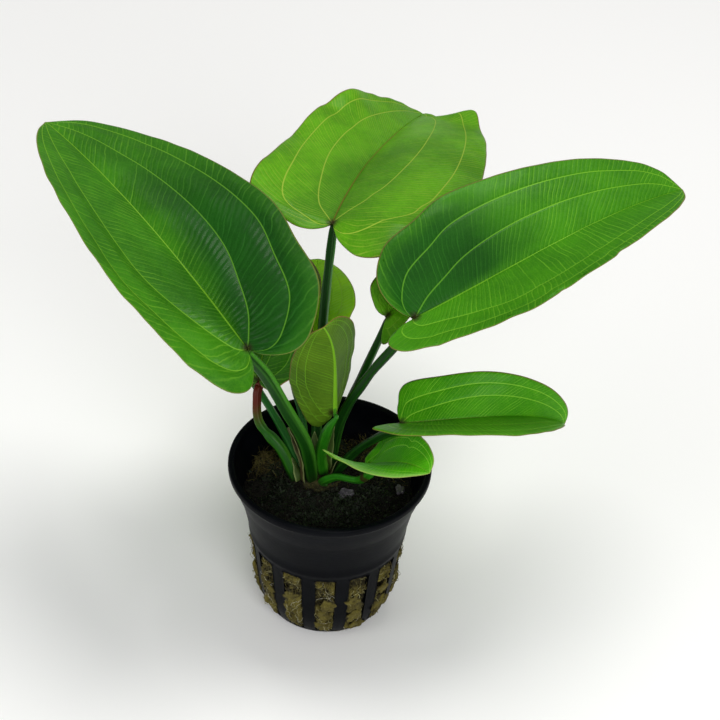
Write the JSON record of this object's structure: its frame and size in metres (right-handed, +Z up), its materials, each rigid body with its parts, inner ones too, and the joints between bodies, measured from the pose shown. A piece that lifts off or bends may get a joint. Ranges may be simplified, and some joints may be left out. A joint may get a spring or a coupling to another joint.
{
  "type": "potted aquarium plant",
  "caption": "Broad-leaved aquarium plant in a small slotted net pot filled with rock wool, its leaves on long stalks that rise from one crown.",
  "frame": {"origin": "middle of the flat underside of the pot", "axes": "+Z up out of the pot, +X to the right of the plant's front, -Y towards its front"},
  "size_m": [0.1722, 0.1358, 0.1235],
  "materials": {
    "pot_plastic": "satin black",
    "rock_wool": "damp fibre",
    "crown_brown": "dull, fibrous",
    "stone_grey": "dull",
    "leaf_large": "wet, glossy",
    "leaf_small": "wet, glossy",
    "leaf_young": "wet, glossy",
    "leaf_old": "wet, glossy",
    "leaf_yellowing": "wet, glossy",
    "stalk_green": "wet, ribbed",
    "stalk_brown": "wet, ribbed"
  },
  "bodies": {
    "root": {"pot": "pot_plastic", "rockwool_plug": "rock_wool", "crown": "crown_brown", "stone_chip_a": "stone_grey", "stone_chip_b": "stone_grey", "blade_left": "leaf_large", "blade_back": "leaf_large", "blade_right": "leaf_large", "blade_inner_right": "leaf_small", "blade_low_right": "leaf_small", "blade_front": "leaf_small", "blade_young": "leaf_young", "blade_old": "leaf_old", "blade_yellowing": "leaf_yellowing", "blade_low_left": "leaf_old", "stalk_left": "stalk_green", "stalk_back": "stalk_green", "stalk_right": "stalk_green", "stalk_inner_right": "stalk_green", "stalk_low_right": "stalk_green", "stalk_front": "stalk_green", "stalk_young": "stalk_green", "stalk_old": "stalk_brown", "stalk_yellowing": "stalk_green", "stalk_low_left": "stalk_green"}
  },
  "joints": []
}
